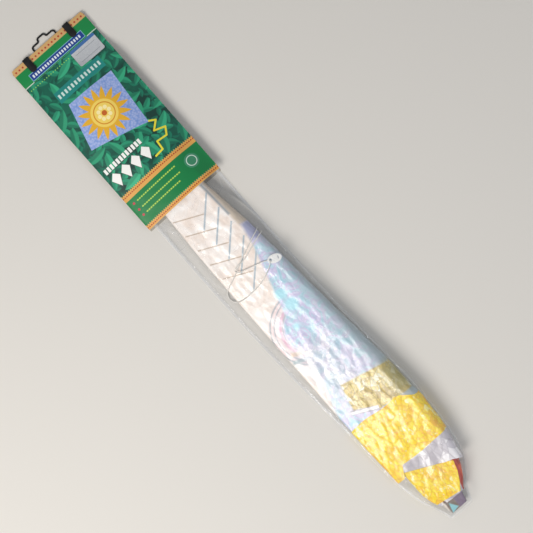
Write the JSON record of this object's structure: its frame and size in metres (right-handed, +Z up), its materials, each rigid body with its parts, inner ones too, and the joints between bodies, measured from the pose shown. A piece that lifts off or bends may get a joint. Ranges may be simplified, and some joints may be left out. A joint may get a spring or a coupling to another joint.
{
  "type": "packed diamond kite",
  "caption": "Single-line diamond kite as sold: rolled film sail on two spars with wound ribbon tail and bridle, in a clear bag under a folded card header with hang loop.",
  "frame": {"origin": "middle of the packed kite's footprint, on the surface it lies on", "axes": "+X along the pack from the hanger to the kite's nose, +Y across it towards the roll's rounded side, +Z up off the surface"},
  "size_m": [0.68, 0.1056, 0.0276],
  "materials": {
    "printed_board": "coated, printed",
    "board_back": "uncoated grey board",
    "hanger_plastic": "moulded, satin",
    "label_paper": "self-adhesive label",
    "clear_film": "clear, glossy, wrinkled",
    "sail_film": "thin white film, wrinkled, with a pale print showing through",
    "printed_film": "thin printed film",
    "ribbon_film": "thin glossy film, creased",
    "spar_rod": "pultruded glass fibre",
    "vinyl_cap": "dipped vinyl",
    "fitting_plastic": "moulded",
    "line": "twisted white line",
    "tag_plastic": "moulded, glossy",
    "winder_plastic": "moulded"
  },
  "bodies": {
    "kite": {"bag_back_film": "clear_film", "bag_front_film": "clear_film", "sail_outer_wrap": "sail_film", "sail_inner_wrap": "printed_film", "sail_nose_tip": "printed_film", "tail_ribbon_upper_wrap": "ribbon_film", "tail_ribbon_under_wrap": "ribbon_film", "tail_ribbon_lower_wrap": "ribbon_film", "spine_spar": "spar_rod", "cross_spar": "spar_rod", "spine_top_cap": "vinyl_cap", "spine_nose_cap": "vinyl_cap", "cross_spar_top_cap": "vinyl_cap", "cross_spar_nose_cap": "vinyl_cap", "centre_joiner": "fitting_plastic", "line_winder": "winder_plastic", "wound_flying_line": "line", "bridle_line": "line"},
    "header": {"header_back_panel": "board_back", "hanger": "hanger_plastic"},
    "front_panel": {"header_front_panel": "printed_board", "price_label": "label_paper"},
    "top_flap": {"header_top_flap": "printed_board"},
    "clip_right": {"clip_arm_right": "hanger_plastic"},
    "clip_left": {"clip_arm_left": "hanger_plastic"},
    "tag": {"bridle_tag": "tag_plastic"}
  },
  "joints": [
    {"name": "header_slide", "type": "slide", "parent": "kite", "child": "header", "axis": [-1, 0, 0], "range_m": [0, 0.235]},
    {"name": "front_panel_hinge", "type": "hinge", "parent": "header", "child": "front_panel", "pos_m": [-0.32845, -0.00276, 0.00255], "axis": [0, -1, 0], "range_deg": [0, 36]},
    {"name": "top_flap_hinge", "type": "hinge", "parent": "header", "child": "top_flap", "pos_m": [-0.32925, -0.00276, 0.00175], "axis": [0, -1, 0], "range_deg": [0, 90]},
    {"name": "clip_arm_right_hinge", "type": "hinge", "parent": "header", "child": "clip_right", "pos_m": [-0.3304, 0.02469, 0.0006], "axis": [0, -1, 0], "range_deg": [0, 126]},
    {"name": "clip_arm_left_hinge", "type": "hinge", "parent": "header", "child": "clip_left", "pos_m": [-0.3304, -0.03181, 0.0006], "axis": [0, -1, 0], "range_deg": [0, 126]},
    {"name": "tag_swing", "type": "hinge", "parent": "kite", "child": "tag", "pos_m": [0.0042, 0.02284, 0.0217], "axis": [0, 0.1392, 0.9903], "range_deg": [-15, 15]}
  ],
  "couplings": [
    {"joint": "top_flap_hinge", "follows": "front_panel_hinge", "ratio": 2.5},
    {"joint": "clip_arm_right_hinge", "follows": "front_panel_hinge", "ratio": 3.5},
    {"joint": "clip_arm_left_hinge", "follows": "front_panel_hinge", "ratio": 3.5}
  ]
}
